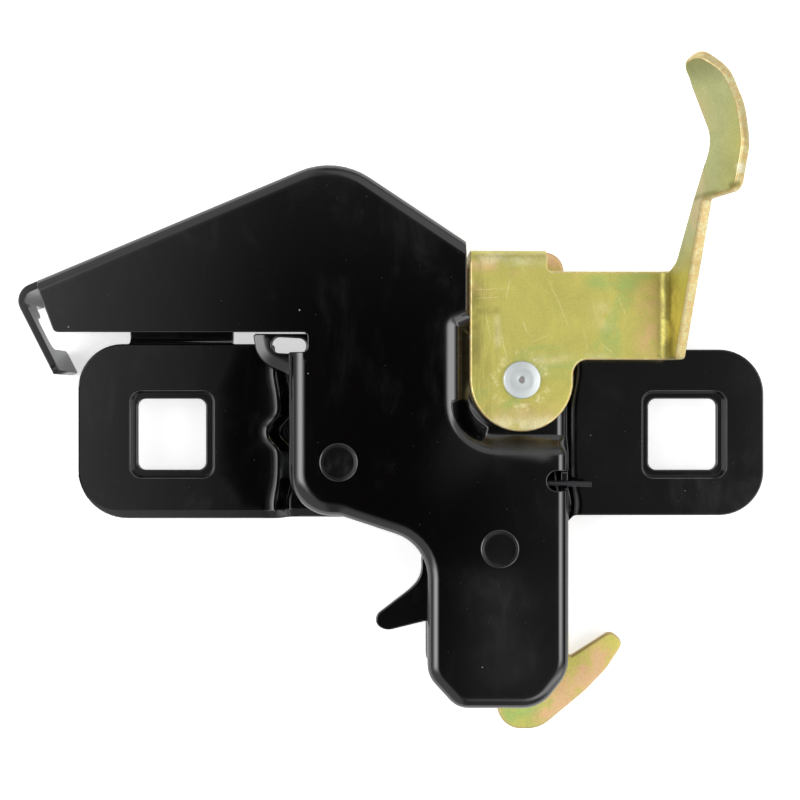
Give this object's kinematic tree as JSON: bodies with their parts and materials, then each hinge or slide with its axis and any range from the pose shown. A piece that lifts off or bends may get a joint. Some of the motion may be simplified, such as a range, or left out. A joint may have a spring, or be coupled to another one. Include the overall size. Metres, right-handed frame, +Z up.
{
  "type": "bonnet latch",
  "caption": "Bonnet latch with a black pressed case on two mounting wings, a cable-released hook and a yellow plated safety lever with a bent finger tab.",
  "frame": {"origin": "halfway between the two square mounting holes, on the plane of the pads' back faces", "axes": "+X to the safety lever's side, +Y back through the panel the pads bolt to, +Z up to the finger tab"},
  "size_m": [0.243, 0.0765, 0.2154],
  "materials": {
    "black_paint": "satin black paint",
    "yellow_zinc": "yellow passivated zinc plate",
    "zinc": "clear zinc plate",
    "spring_steel": "dark oiled wire"
  },
  "bodies": {
    "case": {"cover": "black_paint", "base_plate": "black_paint", "hook_pivot_rivet": "black_paint", "spacer_rivet": "black_paint", "lever_pivot_rivet": "zinc", "hook_bush": "zinc", "hook_spacer_ring": "zinc", "spacer_sleeve": "zinc", "lever_sleeve": "zinc", "front_washer": "zinc", "rear_washer": "zinc", "hook_spring": "spring_steel", "safety_spring": "spring_steel"},
    "hook": {"hook_lever": "black_paint"},
    "lever": {"safety_lever": "yellow_zinc"}
  },
  "joints": [
    {"name": "hook_pivot", "type": "hinge", "parent": "case", "child": "hook", "pos_m": [-0.0286, -0.0086, -0.0086], "axis": [0, -1, 0], "range_deg": [0, 20], "stiffness_Nm_per_rad": 0.8, "springref_deg": -34.38, "deforming": ["hook_spring"]},
    {"name": "safety_pivot", "type": "hinge", "parent": "case", "child": "lever", "pos_m": [0.03, -0.0045, 0.0178], "axis": [0, 1, 0], "range_deg": [0, 16], "stiffness_Nm_per_rad": 1.2, "springref_deg": -34.38, "deforming": ["safety_spring"]}
  ]
}
